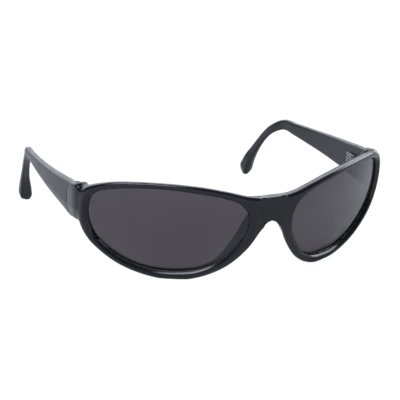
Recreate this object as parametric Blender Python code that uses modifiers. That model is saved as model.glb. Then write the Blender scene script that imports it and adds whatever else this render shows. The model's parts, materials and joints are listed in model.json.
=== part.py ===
"""Wraparound safety glasses: one moulded front, two lenses and two folding temples.

The glasses rest on the bottom of both rims and on both temple tips, at z = 0. +X is the wearer's
left, the front looks along -Y, and X = 0 is the plane of symmetry. Sizes are in millimetres, and
meshes are written in metres. Heights in the tables start at the bottom of the lens opening.
"""

import math

import bmesh
import bpy
from mathutils import Matrix, Vector

METRE = 0.001
GAP = 0.3                   # clearance between two pieces that touch on the real product

# Lens opening and the curved sheet that it is cut from
LENS_WIDTH = 54.8           # opening, nose side to temple side
LENS_HEIGHT = 37.3          # opening, bottom to top
LENS_THICKNESS = 2.2
BRIDGE_WIDTH = 19.8         # between the two openings at their closest
WRAP_RADIUS = 61.2          # curve around the face at the middle
WRAP_TURN = 0.54            # extra turn towards the temples, depth at WRAP_TURN_AT
WRAP_TURN_AT = 50.0
DROP_RADIUS = 55.0          # curve from brow to cheek
UPRIGHT_HEIGHT = 36.7       # height at which the front stands upright

# Rim around the opening
GROOVE_DEPTH = 1.1          # the lens edge sits this deep, less the gap
BACK_LIP = 0.4              # lip behind the lens, set back from the opening
LIP_RECESS = 0.9            # lens face behind the edge of the front lip
RIM_CREST = 1.9             # rim's bead in front of the lens face
RIM_BACK = 1.4              # rim behind the groove
EDGE_ROUND = 0.6
BRIDGE_DROP = 3.5           # bridge's top edge below the top of the opening
BRIDGE_HEIGHT = 10.2        # bridge's top edge to the nose arch, at the middle
PANEL_RECESS = 0.9          # panel in the middle of the bridge, sunk below the bead
PANEL_TOP = 6.2             # half the panel's width at the top
PANEL_BOTTOM = 4.2
PANEL_SLOPE = 0.8           # width of the panel's side walls
REST_LAND = 0.40            # depth of the flat that rim and tip stand on

# Nose flange, moulded behind the nose side of each rim
FLANGE_DEPTH = 6.2
FLANGE_TIP = 1.6            # from its inner to its outer edge
FLANGE_MIDDLE = 1.2         # place on the outline where it is deepest
FLANGE_SPREAD = 2.5         # from there to each end of it

# End pieces, which turn the corner to the temples
END_HEIGHT = 14.2
END_RISE = 0.47             # centre above the rim's corner
END_THICKNESS = 3.6
END_ROOT = 6.4              # thickness where the end piece leaves the rim
END_INSET = 0.84            # outer face at the joint, inboard of the rim's corner
END_LENGTH = 12.18          # rim's corner to the rearmost point of the joint line
JOINT_BOW = 22.0            # radius, doubled, of the bowed joint line
JOINT_BOW_BELOW = 2.6       # rearmost point of the joint line, below its middle

# Temples
TEMPLE_STRAIGHT = 67.0      # joint to the bend over the ear
HOOK_RUN = 27.5             # bend to the rearmost point
TIP_HEIGHT = 6.5            # bulb at the tip
TEMPLE_TUCK = 4.6           # how far the bend lies inboard of the joint
TIP_TUCK = 5.8              # how far the tip lies inboard of the bend

# Hinges
PIN_RADIUS = 0.7
PIN_FORWARD = 0.8           # pin ahead of the joint line's rearmost point
KNUCKLE_WALL = 0.75
KNUCKLE_HEIGHT = 1.7
LEAF_THICKNESS = 1.0
LEAF_LENGTH = 7.6
SEAT_ROOM = 4.0             # clear space inboard of each front leaf
SCREW_RADIUS = 0.6
SCREW_DEPTH = 2.2           # into the moulding
HEAD_RADIUS = 1.05
HEAD_HEIGHT = 0.5
SCREW_FIRST = 3.6           # from the pin to the first screw
SCREW_PITCH = 2.6

STATIONS_PER_KEY = 3        # loft stations between two key points of an outline
TEMPLE_STATIONS_PER_KEY = 2
LENS_RINGS = 4
KNUCKLE_STEPS = 24
SCREW_STEPS = 14

# Key points of the opening, as shares of its width and height, and the reach from there to the
# rim's outer edge, across and up. The bridge's own sizes take over from the first and last reach.
OUTLINE = (
    (0.000, 0.633, 0.0, 0.0),
    (0.005, 0.523, -6.1, 1.0),
    (0.049, 0.370, -4.1, -1.6),
    (0.148, 0.166, -3.2, -2.0),
    (0.276, 0.040, -1.7, -2.9),
    (0.422, 0.000, -0.2, -3.6),
    (0.594, 0.016, 1.0, -2.3),
    (0.774, 0.127, 1.3, -1.6),
    (0.921, 0.324, 2.2, -0.9),
    (0.984, 0.512, 3.6, -0.5),
    (1.000, 0.700, 4.3, 0.1),
    (0.973, 0.874, 4.1, 1.5),
    (0.870, 0.954, 2.0, 2.7),
    (0.708, 0.995, 0.8, 2.8),
    (0.522, 1.000, 0.0, 2.8),
    (0.339, 0.968, -0.5, 3.1),
    (0.175, 0.917, -1.0, 3.1),
    (0.068, 0.847, -4.1, 3.3),
    (0.013, 0.740, 0.0, 0.0),
)
LAST_KEY = len(OUTLINE) - 1
CORNER_KEY = 10             # the rim's corner, where the end piece leaves it
EDGE_POINT = 7              # the outer front edge in a section of the rim

# Temple sections along the straight: share of its length, height, thickness, rise of the centre
STRAIGHT_KEYS = (
    (0.00, END_HEIGHT, END_THICKNESS, 0.0),
    (0.16, 13.0, 3.5, -0.3),
    (0.34, 11.2, 3.2, -0.4),
    (0.52, 9.2, 3.0, -0.3),
    (0.69, 7.5, 2.9, -0.2),
    (0.86, 5.8, 2.9, 0.0),
    (1.00, 4.7, 2.9, 0.1),
)
# Temple sections over the ear: share of the run, share of the drop, height, thickness
HOOK_KEYS = (
    (0.28, 0.115, 4.0, 2.9),
    (0.48, 0.255, 3.7, 2.8),
    (0.65, 0.420, 3.9, 3.0),
    (0.79, 0.580, 4.4, 3.6),
    (0.90, 0.730, 5.6, 4.6),
    (0.98, 0.875, TIP_HEIGHT, 5.3),
)

BLACK = (0.012, 0.012, 0.014, 1.0)
SMOKE = (0.05, 0.05, 0.055, 1.0)
STEEL = (0.55, 0.55, 0.56, 1.0)


# ---- shared helpers ----

def material(name, colour, roughness, metallic=0.0):
    """One Principled material for one piece."""
    made = bpy.data.materials.new(name)
    made.use_nodes = True
    shader = made.node_tree.nodes["Principled BSDF"]
    shader.inputs["Base Color"].default_value = colour
    shader.inputs["Roughness"].default_value = roughness
    shader.inputs["Metallic"].default_value = metallic
    made.diffuse_color = colour
    return made


def collection(name):
    made = bpy.data.collections.new(name)
    bpy.context.scene.collection.children.link(made)
    return made


def add_mesh(name, build, group, look, axis=None):
    """Object from a bmesh in millimetres; axis is the empty that a moving piece turns with."""
    shift = Vector((0.0, MIDDLE_BACK, 0.0))
    if axis:
        shift += axis.location / METRE
    for vert in build.verts:
        vert.co = (vert.co - shift) * METRE
    mesh = bpy.data.meshes.new(name)
    build.to_mesh(mesh)
    build.free()
    made = bpy.data.objects.new(name, mesh)
    made.parent = axis
    group.objects.link(made)
    mesh.materials.append(material(name, *look))
    mesh.shade_smooth()
    mesh.set_sharp_from_angle(angle=math.radians(40))
    return made


def add_cutter(name, build):
    made = add_mesh(name, build, CUTTERS, (STEEL, 0.5))
    made.hide_render = True
    made.display_type = "WIRE"
    return made


def boolean(target, tool, operation):
    cut = target.modifiers.new(tool.name, "BOOLEAN")
    cut.object = tool
    cut.operation = operation
    cut.solver = "EXACT"


def cylinder(build, axis, start, end, radius, steps):
    """Closed cylinder along an axis (0 x, 1 y, 2 z) between two points given in millimetres."""
    turn = {0: Matrix.Rotation(math.pi / 2, 4, "Y"), 1: Matrix.Rotation(math.pi / 2, 4, "X"),
            2: Matrix.Identity(4)}[axis]
    middle = (Vector(start) + Vector(end)) / 2
    depth = (Vector(end) - Vector(start)).length
    bmesh.ops.create_cone(build, cap_ends=True, segments=steps, radius1=radius, radius2=radius,
                          depth=depth, matrix=Matrix.Translation(middle) @ turn)


def box(build, low, high):
    """Closed box between two corners given in millimetres."""
    size = Vector(high) - Vector(low)
    middle = (Vector(high) + Vector(low)) / 2
    place = Matrix.Translation(middle) @ Matrix.Diagonal((*size, 1.0))
    bmesh.ops.create_cube(build, size=1.0, matrix=place)


def smooth_between(a, b, c, d, share):
    """Catmull-Rom curve through b and c, from b at share 0 to c at share 1."""
    s2 = share * share
    s3 = s2 * share
    return tuple(0.5 * (2 * q + (r - p) * share + (2 * p - 5 * q + 4 * r - s) * s2
                        + (3 * q - p - 3 * r + s) * s3) for p, q, r, s in zip(a, b, c, d))


def curve_at(keys, place):
    """Smooth open curve through keys at 0, 1, 2 and so on, straight on past both ends."""
    index = min(max(int(place), 0), len(keys) - 2)
    b, c = keys[index], keys[index + 1]
    a = keys[index - 1] if index > 0 else tuple(2 * p - q for p, q in zip(b, c))
    d = keys[index + 2] if index + 2 < len(keys) else tuple(2 * q - p for p, q in zip(b, c))
    return smooth_between(a, b, c, d, place - index)


def loft(build, loops, closed_path=False):
    """Skin between loops of equally many points; returns the loops' vertices."""
    rows = [[build.verts.new(point) for point in loop] for loop in loops]
    count = len(rows[0])
    pairs = list(zip(rows, rows[1:]))
    if closed_path:
        pairs.append((rows[-1], rows[0]))
    for first, second in pairs:
        for i in range(count):
            j = (i + 1) % count
            build.faces.new((first[i], first[j], second[j], second[i]))
    return rows


def face_outwards(build):
    bmesh.ops.recalc_face_normals(build, faces=build.faces[:])


# ---- the curved sheet that lenses and front follow ----

def sheet_depth(x, z):
    """How far the lens face lies behind the brow, z above the bottom of the opening."""
    turn = WRAP_TURN * (abs(x) / WRAP_TURN_AT) ** 4
    return x * x / (2 * WRAP_RADIUS) + turn + (z - UPRIGHT_HEIGHT) ** 2 / (2 * DROP_RADIUS)


def on_sheet(x, z, depth):
    """Point on the sheet at (x, z), moved square to it; a positive depth is behind the lens face."""
    step = 0.01
    slope_x = (sheet_depth(x + step, z) - sheet_depth(x - step, z)) / (2 * step)
    slope_z = (sheet_depth(x, z + step) - sheet_depth(x, z - step)) / (2 * step)
    back = Vector((-slope_x, 1.0, -slope_z)).normalized()
    return Vector((x, sheet_depth(x, z), z)) + back * depth


def opening_key(index):
    across, up = OUTLINE[index % len(OUTLINE)][:2]
    return (BRIDGE_WIDTH / 2 + across * LENS_WIDTH, up * LENS_HEIGHT)


def opening_at(place):
    """Point of the opening's edge; the outline's keys lie at whole numbers."""
    index = math.floor(place)
    keys = [opening_key(index + step) for step in (-1, 0, 1, 2)]
    return smooth_between(*keys, place - index)


def outer_key(index):
    """Point of the rim's outer edge; past the middle of the bridge it is the mirrored rim's."""
    if index < 0:
        x, z = outer_key(-index)
        return (-x, z)
    if index > LAST_KEY:
        x, z = outer_key(2 * LAST_KEY - index)
        return (-x, z)
    if index == 0:
        return (0.0, NOSE_ARCH)
    if index == LAST_KEY:
        return (0.0, BRIDGE_TOP)
    x, z = opening_key(index)
    return (x + OUTLINE[index][2], z + OUTLINE[index][3])


def outer_at(place):
    if place >= LAST_KEY:
        share = place - LAST_KEY
        return (0.0, BRIDGE_TOP + (NOSE_ARCH - BRIDGE_TOP) * share)
    index = int(place)
    keys = [outer_key(index + step) for step in (-1, 0, 1, 2)]
    return smooth_between(*keys, place - index)


def flange_depth(place):
    """Depth of the nose flange behind the rim, nothing beyond its ends."""
    if place > LAST_KEY / 2:
        place -= len(OUTLINE)
    away = abs(place - FLANGE_MIDDLE) / FLANGE_SPREAD
    return FLANGE_DEPTH * math.cos(away * math.pi / 2) ** 1.3 if away < 1 else 0.0


def rim_section(place):
    """One section of the rim: groove, front lip, bead, outer wall, flange, back and back lip."""
    inner = Vector(opening_at(place))
    outer = Vector(outer_at(place))
    reach = (outer - inner).length
    way = (outer - inner) / reach
    on_bridge = outer.x < 1e-6
    back = LENS_THICKNESS + GAP + RIM_BACK
    edge_back = 0.0 if on_bridge else EDGE_ROUND
    edge_front = PANEL_RECESS if on_bridge else RIM_CREST - 2 * EDGE_ROUND
    crest_end = reach - EDGE_ROUND
    panel = reach - EDGE_ROUND / 2
    lip_end = BACK_LIP + EDGE_ROUND
    land = reach - edge_back - lip_end
    deep = back + flange_depth(place)
    if on_bridge:
        share = (outer.y - NOSE_ARCH) / (BRIDGE_TOP - NOSE_ARCH)
        half = PANEL_BOTTOM + (PANEL_TOP - PANEL_BOTTOM) * share
        panel = reach * (1 - (half - PANEL_SLOPE) / inner.x)
        crest_end = reach * (1 - half / inner.x)
    profile = (
        (GROOVE_DEPTH, -GAP),
        (0.0, -GAP),
        (0.0, -LIP_RECESS + EDGE_ROUND / 2),
        (EDGE_ROUND / 2, -LIP_RECESS),
        (EDGE_ROUND * 1.5, -LIP_RECESS - EDGE_ROUND),
        (crest_end, -RIM_CREST),
        (panel, -edge_front if on_bridge else -(edge_front + RIM_CREST) / 2),
        (reach, -edge_front),
        (reach, back / 2),
        (reach, back - edge_back),
        (reach - edge_back, back),
        (lip_end + min(0.6 * land, FLANGE_TIP), deep),
        (lip_end + 0.15 * land, deep),
        (lip_end, back),
        (BACK_LIP, back - EDGE_ROUND),
        (BACK_LIP, LENS_THICKNESS + GAP),
        (GROOVE_DEPTH, LENS_THICKNESS + GAP),
    )
    points = []
    for along, depth in profile:
        spot = inner + way * along
        points.append(on_sheet(spot.x, spot.y, depth))
    return points


def rim_places():
    count = len(OUTLINE) * STATIONS_PER_KEY
    return [i / STATIONS_PER_KEY for i in range(count)]


BRIDGE_TOP = LENS_HEIGHT - BRIDGE_DROP
NOSE_ARCH = BRIDGE_TOP - BRIDGE_HEIGHT
RIM_SECTIONS = [rim_section(place) for place in rim_places()]
RIM_CORNER = RIM_SECTIONS[CORNER_KEY * STATIONS_PER_KEY][EDGE_POINT]
# Bottom of the lens opening above the surface that the glasses rest on
LENS_LIFT = -min(point.z for section in RIM_SECTIONS for point in section) - REST_LAND


# ---- places shared by end pieces, temples and hinges ----

END_MIDDLE = RIM_CORNER.z + END_RISE + LENS_LIFT
END_OUT = RIM_CORNER.x - END_INSET
JOINT_BACK = RIM_CORNER.y + END_LENGTH
END_IN = END_OUT - END_THICKNESS
KNUCKLE_RADIUS = PIN_RADIUS + GAP + KNUCKLE_WALL
PIN_X = END_IN - GAP - KNUCKLE_RADIUS
PIN_Y = JOINT_BACK - PIN_FORWARD
PIN_Z = END_MIDDLE


def joint_depth(z):
    """Bowed line where end piece and temple meet."""
    return JOINT_BACK - (z - END_MIDDLE + JOINT_BOW_BELOW) ** 2 / JOINT_BOW


def arm_section(height, thickness):
    """Outline of end piece and temple: (inboard of the outer face, above the centre).

    The first half runs down the outer side and the second half up the inner side.
    """
    top = height / 2
    corner = min(0.3 * height, 1.3)
    return (
        (0.42 * thickness, top),
        (0.10 * thickness, top - 0.6 * corner),
        (0.0, 0.25 * height),
        (0.0, -0.15 * height),
        (0.16 * thickness, -top + corner),
        (0.45 * thickness, -top + 0.1 * corner),
        (0.75 * thickness, -top),
        (0.96 * thickness, -top + 0.7 * corner),
        (thickness, -0.2 * height),
        (thickness, 0.2 * height),
        (0.96 * thickness, top - 0.7 * corner),
        (0.80 * thickness, top),
    )


def cap(build, row):
    """Close a section's end with a ladder of faces between its outer and its inner side."""
    last = len(row) - 1
    for i in range(len(row) // 2 - 1):
        build.faces.new((row[i], row[i + 1], row[last - i - 1], row[last - i]))


# ---- front ----

def build_front():
    """Half of the front as a loft around the opening, mirrored, with an end piece on each side."""
    build = bmesh.new()
    loft(build, [[(p.x, p.y, max(p.z + LENS_LIFT, 0.0)) for p in section]
                 for section in RIM_SECTIONS], closed_path=True)
    in_plane = [face for face in build.faces if all(abs(vert.co.x) < 1e-5 for vert in face.verts)]
    bmesh.ops.delete(build, geom=in_plane, context="FACES_ONLY")
    loose = [vert for vert in build.verts if not vert.link_faces]
    bmesh.ops.delete(build, geom=loose, context="VERTS")
    face_outwards(build)
    front = add_mesh("front_frame", build, PARTS, (BLACK, 0.25))
    mirror = front.modifiers.new("other half", "MIRROR")
    mirror.merge_threshold = 0.00005
    mirror.use_clip = True
    for side in (1, -1):
        boolean(front, end_piece(side), "UNION")
    boolean(front, leaf_seats(), "DIFFERENCE")
    boolean(front, screw_holes("front screw holes", -1), "DIFFERENCE")
    return front


def leaf_seats():
    """Flat seats that let the hinge leaves lie against the end pieces."""
    half = KNUCKLE_HEIGHT * 1.5 + GAP
    build = bmesh.new()
    for side in (1, -1):
        near = side * (END_IN - GAP - LEAF_THICKNESS - SEAT_ROOM)
        low = (min(near, side * END_IN), PIN_Y - LEAF_LENGTH - 0.5 - GAP, PIN_Z - half - GAP)
        high = (max(near, side * END_IN), JOINT_BACK + 1.0, PIN_Z + half + GAP)
        box(build, low, high)
    return add_cutter("leaf seats", build)


def end_piece(side):
    """Corner block from inside the rim back to the joint."""
    rim_x, rim_y = RIM_CORNER.xy
    keys = (
        (rim_x - 2.2, rim_y - 1.4, 1.02, 0.3 * END_ROOT),
        (rim_x - 1.1, rim_y - 0.2, 1.12, 0.6 * END_ROOT),
        (rim_x - 0.4, rim_y + 1.4, 1.14, END_ROOT),
        (rim_x - 0.4, rim_y + 4.0, 1.07, (END_ROOT + END_THICKNESS) / 2),
        (END_OUT, JOINT_BACK, 1.0, END_THICKNESS),
    )
    places = [i / 2 for i in range(2 * (len(keys) - 1) + 1)]
    loops = []
    for place in places:
        out, depth, size, thickness = curve_at(keys, place)
        last = place == places[-1]
        loop = []
        for inboard, up in arm_section(END_HEIGHT * size, thickness):
            z = END_MIDDLE + up
            y = joint_depth(z) - GAP / 2 if last else min(depth, joint_depth(z) - 2 * GAP)
            loop.append((side * (out - inboard), y, z))
        loops.append(loop)
    build = bmesh.new()
    rows = loft(build, loops)
    cap(build, rows[0])
    cap(build, rows[-1])
    face_outwards(build)
    return add_cutter("end piece left" if side > 0 else "end piece right", build)


# ---- lenses ----

def build_lens(side, name):
    """Disc on the curved sheet, out to the groove, thickened backwards."""
    build = bmesh.new()
    middle = Vector((BRIDGE_WIDTH / 2 + LENS_WIDTH / 2, LENS_HEIGHT / 2))
    rows = []
    for ring in range(1, LENS_RINGS + 1):
        share = ring / LENS_RINGS
        row = []
        for place in rim_places():
            inner = Vector(opening_at(place))
            way = (Vector(outer_at(place)) - inner).normalized()
            edge = inner + way * (GROOVE_DEPTH - GAP)
            spot = middle + (edge - middle) * share
            point = on_sheet(spot.x, spot.y, 0.0)
            row.append(build.verts.new((side * point.x, point.y, point.z + LENS_LIFT)))
        rows.append(row)
    centre = on_sheet(middle.x, middle.y, 0.0)
    hub = build.verts.new((side * centre.x, centre.y, centre.z + LENS_LIFT))
    count = len(rows[0])
    for i in range(count):
        j = (i + 1) % count
        build.faces.new((hub, rows[0][i], rows[0][j]))
        for first, second in zip(rows, rows[1:]):
            build.faces.new((first[i], second[i], second[j], first[j]))
    face_outwards(build)
    build.faces.ensure_lookup_table()
    if build.faces[0].normal.y > 0:
        bmesh.ops.reverse_faces(build, faces=build.faces[:])
    lens = add_mesh(name, build, PARTS, (SMOKE, 0.05))
    shell = lens.modifiers.new("lens thickness", "SOLIDIFY")
    shell.thickness = LENS_THICKNESS * METRE
    shell.offset = -1.0
    return lens


# ---- temples ----

def temple_stations():
    """Centre, height and thickness along the temple, as one smooth curve of keys."""
    start = JOINT_BACK
    bend = start + TEMPLE_STRAIGHT
    rise = STRAIGHT_KEYS[-1][3]
    drop = END_MIDDLE + rise
    keys = []
    for share, height, thickness, up in STRAIGHT_KEYS:
        tuck = TEMPLE_TUCK * share * share
        keys.append((END_OUT - tuck, start + share * TEMPLE_STRAIGHT, END_MIDDLE + up, height,
                     thickness))
    for run, fall, height, thickness in HOOK_KEYS:
        tuck = TEMPLE_TUCK + TIP_TUCK * run * (3 - run) / 2
        keys.append((END_OUT - tuck, bend + run * HOOK_RUN, END_MIDDLE + rise - fall * drop, height,
                     thickness))
    return keys


def temple_loops(side):
    keys = temple_stations()
    last = len(keys) - 1
    places = [i / TEMPLE_STATIONS_PER_KEY for i in range(TEMPLE_STATIONS_PER_KEY * last + 1)]
    loops = []
    for place in places:
        out, y, z, height, thickness = curve_at(keys, place)
        ahead = curve_at(keys, min(place + 0.05, last))
        behind = curve_at(keys, max(place - 0.05, 0.0))
        along = Vector((0.0, ahead[1] - behind[1], ahead[2] - behind[2])).normalized()
        if place == 0:
            along = Vector((0.0, 1.0, 0.0))
        rise = Vector((0.0, -along.z, along.y))
        loop = []
        for inboard, up in arm_section(height, thickness):
            point = Vector((out - inboard, y, z)) + rise * up
            if place == 0:
                point.y = joint_depth(point.z) + GAP / 2
            loop.append(point)
        loops.append(loop)
    loops += tip_cap(loops[-1], along)
    return [[(side * p.x, p.y, max(p.z, 0.0)) for p in loop] for loop in loops]


def tip_cap(loop, along):
    """Loops that round off the tip; they reach below the floor, where they are cut flat."""
    centre = sum(loop, Vector()) / len(loop)
    length = centre.z + REST_LAND
    cap = []
    for degrees in (30, 55, 75):
        angle = math.radians(degrees)
        moved = centre + along * (length / abs(along.z)) * math.sin(angle)
        cap.append([moved + (point - centre) * math.cos(angle) for point in loop])
    return cap


def hinge_axis(side, name):
    """Empty on the pin's axis, which carries the temple and what is fixed to it."""
    axis = bpy.data.objects.new(name, None)
    axis.empty_display_size = 2 * KNUCKLE_RADIUS * METRE
    axis.location = Vector((side * PIN_X, PIN_Y - MIDDLE_BACK, PIN_Z)) * METRE
    PARTS.objects.link(axis)
    return axis


def build_temple(side, name, axis):
    build = bmesh.new()
    rows = loft(build, temple_loops(side))
    cap(build, rows[0])
    cap(build, rows[-1])
    bmesh.ops.remove_doubles(build, verts=build.verts[:], dist=0.001)
    face_outwards(build)
    temple = add_mesh(name, build, PARTS, (BLACK, 0.3), axis)
    boolean(temple, screw_holes(name + " screw holes", 1, side), "DIFFERENCE")
    return temple


# ---- hinges ----

def screw_rows(way):
    """Distances behind the pin of the two fixing screws; way is -1 on the front, 1 on a temple."""
    return [PIN_Y + way * (SCREW_FIRST + step * SCREW_PITCH) for step in (0, 1)]


def screw_holes(name, way, only_side=None):
    """Blind holes for the fixing screws in the front or in one temple."""
    build = bmesh.new()
    for side in (only_side,) if only_side else (1, -1):
        for y in screw_rows(way):
            start = (side * (END_IN - 2 * GAP), y, PIN_Z)
            end = (side * (END_IN + SCREW_DEPTH + GAP), y, PIN_Z)
            cylinder(build, 0, start, end, SCREW_RADIUS + GAP, SCREW_STEPS)
    return add_cutter(name, build)


def leaf(side, name, way, axis=None):
    """Leaf plate with its knuckles: two on the front (way -1), the middle one on a temple."""
    half = KNUCKLE_HEIGHT * 1.5 + GAP
    outer_knuckles = ((-half, -half + KNUCKLE_HEIGHT), (half - KNUCKLE_HEIGHT, half))
    middle_knuckle = ((-KNUCKLE_HEIGHT / 2, KNUCKLE_HEIGHT / 2),)
    own, other = (outer_knuckles, middle_knuckle) if way < 0 else (middle_knuckle, outer_knuckles)
    plate_out = END_IN - GAP
    reach = PIN_Y + way * (LEAF_LENGTH + 0.5)
    build = bmesh.new()
    low = (plate_out - LEAF_THICKNESS, min(PIN_Y, reach), PIN_Z - half)
    high = (plate_out, max(PIN_Y, reach), PIN_Z + half)
    box(build, low, high)
    for vert in build.verts:
        vert.co.x *= side
    face_outwards(build)
    made = add_mesh(name, build, PARTS, (STEEL, 0.3, 1.0), axis)
    barrels = bmesh.new()
    for bottom, top in own:
        cylinder(barrels, 2, (side * PIN_X, PIN_Y, PIN_Z + bottom),
                 (side * PIN_X, PIN_Y, PIN_Z + top), KNUCKLE_RADIUS, KNUCKLE_STEPS)
    boolean(made, add_cutter(name + " knuckles", barrels), "UNION")
    room = bmesh.new()
    for bottom, top in other:
        low = PIN_Z + bottom - (GAP if bottom > -half else 2 * GAP)
        high = PIN_Z + top + (GAP if top < half else 2 * GAP)
        cylinder(room, 2, (side * PIN_X, PIN_Y, low), (side * PIN_X, PIN_Y, high),
                 KNUCKLE_RADIUS + GAP, KNUCKLE_STEPS)
    boolean(made, add_cutter(name + " room", room), "DIFFERENCE")
    holes = bmesh.new()
    cylinder(holes, 2, (side * PIN_X, PIN_Y, PIN_Z - half - 1.0),
             (side * PIN_X, PIN_Y, PIN_Z + half + 1.0), PIN_RADIUS + GAP, KNUCKLE_STEPS)
    for y in screw_rows(way):
        cylinder(holes, 0, (side * (plate_out - LEAF_THICKNESS - 1.0), y, PIN_Z),
                 (side * (plate_out + 1.0), y, PIN_Z), SCREW_RADIUS + GAP, SCREW_STEPS)
    boolean(made, add_cutter(name + " holes", holes), "DIFFERENCE")
    return made


def screw(name, seat, tip, shank, axis=None):
    """Screw with its head outside the seat; seat and tip are points on its axis."""
    build = bmesh.new()
    way = (Vector(tip) - Vector(seat)).normalized()
    head = Vector(seat) - way * HEAD_HEIGHT
    length = (Vector(tip) - head).length
    turned = ((HEAD_RADIUS * 0.8, 0.0), (HEAD_RADIUS, HEAD_HEIGHT * 0.4),
              (HEAD_RADIUS, HEAD_HEIGHT), (shank, HEAD_HEIGHT),
              (shank, length - 0.2), (shank * 0.7, length))
    turn = way.to_track_quat("Z", "X").to_matrix().to_4x4()
    place = Matrix.Translation(head) @ turn
    loops = []
    for radius, along in turned:
        loops.append([place @ Vector((radius * math.cos(a), radius * math.sin(a), along))
                      for a in (2 * math.pi * i / SCREW_STEPS for i in range(SCREW_STEPS))])
    rows = loft(build, loops)
    build.faces.new(rows[0])
    build.faces.new(rows[-1])
    face_outwards(build)
    return add_mesh(name, build, PARTS, (STEEL, 0.25, 1.0), axis)


def build_hinge(side, name, axis):
    """Front leaf, temple leaf, pivot screw and the four fixing screws of one hinge."""
    leaf(side, name + "_front_leaf", -1)
    leaf(side, name + "_temple_leaf", 1, axis)
    half = KNUCKLE_HEIGHT * 1.5 + GAP
    screw(name + "_pivot_screw", (side * PIN_X, PIN_Y, PIN_Z + half + GAP),
          (side * PIN_X, PIN_Y, PIN_Z - half), PIN_RADIUS)
    head_seat = END_IN - GAP - LEAF_THICKNESS - GAP
    for label, way, carrier in (("front", -1, None), ("temple", 1, axis)):
        for number, y in enumerate(screw_rows(way), 1):
            screw("%s_%s_screw_%d" % (name, label, number), (side * head_seat, y, PIN_Z),
                  (side * (END_IN + SCREW_DEPTH), y, PIN_Z), SCREW_RADIUS, carrier)


# ---- assembly ----

FOREMOST = min(point.y for section in RIM_SECTIONS for point in section)
REARMOST = max(point[1] for loop in temple_loops(1) for point in loop)
# The origin lies under the middle of the open glasses
MIDDLE_BACK = (FOREMOST + REARMOST) / 2

for old in list(bpy.data.objects):
    bpy.data.objects.remove(old, do_unlink=True)
PARTS = collection("safety_glasses")
CUTTERS = collection("cutters")
build_front()
for hand, sign in (("left", 1), ("right", -1)):
    build_lens(sign, hand + "_lens")
    temple_axis = hinge_axis(sign, hand + "_temple_axis")
    build_temple(sign, hand + "_temple", temple_axis)
    build_hinge(sign, hand + "_hinge", temple_axis)
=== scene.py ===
"""Studio scene of wraparound safety glasses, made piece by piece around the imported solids.

Sizes are in millimetres and meshes are written in metres. +X is the wearer's left, the front looks
along -Y, and X = 0 is the plane of symmetry. Places come from the frame's hinge axis.
"""

import json
import math

import bmesh
import bpy
from mathutils import Matrix, Vector


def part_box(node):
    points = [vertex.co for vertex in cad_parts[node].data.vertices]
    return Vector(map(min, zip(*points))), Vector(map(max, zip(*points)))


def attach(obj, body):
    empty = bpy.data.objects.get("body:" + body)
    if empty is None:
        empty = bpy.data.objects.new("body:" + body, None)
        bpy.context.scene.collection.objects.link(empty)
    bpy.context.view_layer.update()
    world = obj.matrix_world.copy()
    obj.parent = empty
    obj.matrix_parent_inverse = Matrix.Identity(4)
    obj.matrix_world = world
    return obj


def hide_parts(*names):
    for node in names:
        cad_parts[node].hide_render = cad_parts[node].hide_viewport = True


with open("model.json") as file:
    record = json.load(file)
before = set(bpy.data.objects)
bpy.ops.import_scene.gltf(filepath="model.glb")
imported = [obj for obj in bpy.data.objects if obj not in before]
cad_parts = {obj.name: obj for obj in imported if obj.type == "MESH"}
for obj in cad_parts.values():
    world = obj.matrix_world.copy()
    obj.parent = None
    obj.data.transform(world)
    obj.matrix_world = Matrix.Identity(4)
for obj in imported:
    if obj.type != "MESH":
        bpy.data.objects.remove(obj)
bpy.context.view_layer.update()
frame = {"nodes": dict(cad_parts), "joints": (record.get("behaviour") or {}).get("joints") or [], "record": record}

# ---- front: the sheet it is cut from ----
# The front is injection moulded in black nylon on a sheet that wraps around the face and curves
# from brow to cheek. Both lens openings are cut from that sheet, and the rim follows them.

MM = 0.001
LENS_WIDTH = 54.8           # opening, nose side to temple side
LENS_HEIGHT = 37.3
LENS_THICKNESS = 2.2
BRIDGE_WIDTH = 19.8         # between the two openings at their closest
WRAP_RADIUS = 61.2          # curve around the face at the middle
WRAP_TURN = 0.54            # extra turn towards the temples, depth at WRAP_TURN_AT
WRAP_TURN_AT = 50.0
DROP_RADIUS = 55.0          # curve from brow to cheek
UPRIGHT_HEIGHT = 36.7       # height at which the front stands upright
BRIDGE_TOP = LENS_HEIGHT - 3.5
NOSE_ARCH = BRIDGE_TOP - 10.2

# Key points of the opening, as shares of its width and height; the reach from there to the rim's
# outer edge, across and up; and how wide the lip slopes from the lens up to the rim's face
OUTLINE = (
    (0.000, 0.633, 0.0, 0.0, 1.1),
    (0.005, 0.523, -6.1, 1.0, 1.1),
    (0.049, 0.370, -4.1, -1.6, 1.0),
    (0.148, 0.166, -3.2, -2.0, 0.8),
    (0.276, 0.040, -1.7, -2.9, 0.5),
    (0.422, 0.000, -0.2, -3.6, 0.4),
    (0.594, 0.016, 1.0, -2.3, 0.4),
    (0.774, 0.127, 1.3, -1.6, 0.5),
    (0.921, 0.324, 2.2, -0.9, 0.7),
    (0.984, 0.512, 3.6, -0.5, 0.9),
    (1.000, 0.700, 4.3, 0.1, 1.1),
    (0.973, 0.874, 4.1, 1.5, 1.1),
    (0.870, 0.954, 2.0, 2.7, 1.0),
    (0.708, 0.995, 0.8, 2.8, 1.0),
    (0.522, 1.000, 0.0, 2.8, 1.0),
    (0.339, 0.968, -0.5, 3.1, 1.0),
    (0.175, 0.917, -1.0, 3.1, 1.1),
    (0.068, 0.847, -4.1, 3.3, 1.1),
    (0.013, 0.740, 0.0, 0.0, 1.1),
)
LAST_KEY = len(OUTLINE) - 1
CORNER_KEY = 10             # the rim's corner, where the end piece leaves it


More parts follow.
